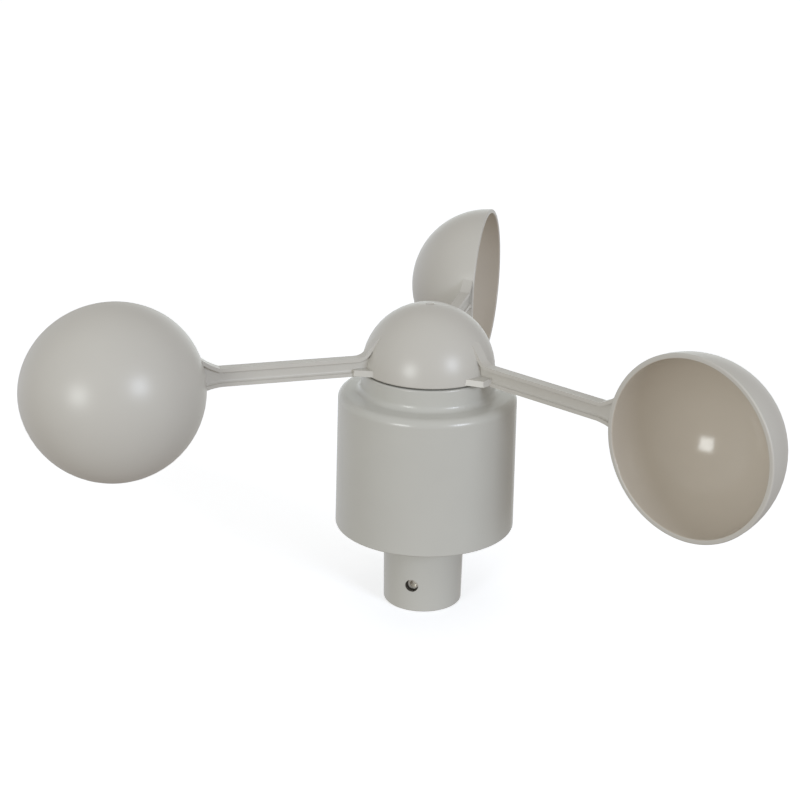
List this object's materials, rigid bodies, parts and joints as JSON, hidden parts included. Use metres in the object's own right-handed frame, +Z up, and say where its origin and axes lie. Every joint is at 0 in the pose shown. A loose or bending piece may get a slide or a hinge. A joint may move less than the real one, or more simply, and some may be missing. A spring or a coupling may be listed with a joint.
{
  "type": "cup anemometer",
  "caption": "Rotating-cup wind speed sensor: hemispherical cups on a domed hub turn on a drum housing with a mast stub.",
  "frame": {"origin": "centre of the stub's bottom face, at the mouth of the mast socket, on the rotor's axis", "axes": "+Z up along the rotor's axis, towards the dome; -Y towards the mast set screw"},
  "size_m": [0.1574, 0.1485, 0.0766],
  "materials": {
    "rotor_plastic": "satin moulded light warm-grey ABS, slightly glossy",
    "housing_plastic": "satin moulded light grey ABS, slightly glossy",
    "shaft_steel": "ground stainless steel",
    "bearing_steel": "polished bearing steel",
    "cage_steel": "pressed steel",
    "fastener_steel": "zinc-plated steel",
    "set_screw_steel": "bright zinc-plated steel, dark in its socket",
    "carrier_plastic": "matt black nylon",
    "magnet_nickel": "nickel-plated neodymium",
    "seal_rubber": "matt black rubber",
    "board_laminate": "green solder-masked glass-epoxy laminate",
    "reed_glass": "clear faintly green glass",
    "reed_metal": "tinned nickel-iron"
  },
  "bodies": {
    "housing": {"upper_bearing_outer_ring": "bearing_steel", "upper_bearing_shields": "cage_steel", "lower_bearing_outer_ring": "bearing_steel", "lower_bearing_shields": "cage_steel", "housing_shell": "housing_plastic", "base_cover": "housing_plastic", "cover_seal": "seal_rubber", "cover_screws": "fastener_steel", "cable_grommet": "seal_rubber", "mast_set_screw": "set_screw_steel", "circuit_board": "board_laminate", "board_screws": "fastener_steel", "reed_switch_glass": "reed_glass", "reed_switch_leads": "reed_metal"},
    "rotor": {"wind_cup_rotor": "rotor_plastic", "rotor_shaft": "shaft_steel", "shaft_retaining_clip": "fastener_steel", "upper_bearing_inner_ring": "bearing_steel", "lower_bearing_inner_ring": "bearing_steel", "magnet_carrier": "carrier_plastic", "trigger_magnets": "magnet_nickel"},
    "upper_ball_set": {"upper_bearing_balls": "bearing_steel", "upper_bearing_cage": "cage_steel"},
    "lower_ball_set": {"lower_bearing_balls": "bearing_steel", "lower_bearing_cage": "cage_steel"}
  },
  "joints": [
    {"name": "rotor_spin", "type": "hinge", "parent": "housing", "child": "rotor", "pos_m": [0, 0, 0.0533], "axis": [0, 0, 1], "continuous": true},
    {"name": "upper_balls_orbit", "type": "hinge", "parent": "housing", "child": "upper_ball_set", "pos_m": [0, 0, 0.0533], "axis": [0, 0, 1], "continuous": true},
    {"name": "lower_balls_orbit", "type": "hinge", "parent": "housing", "child": "lower_ball_set", "pos_m": [0, 0, 0.04], "axis": [0, 0, 1], "continuous": true}
  ],
  "couplings": [
    {"joint": "upper_balls_orbit", "follows": "rotor_spin", "ratio": 0.3778},
    {"joint": "lower_balls_orbit", "follows": "rotor_spin", "ratio": 0.3778}
  ]
}
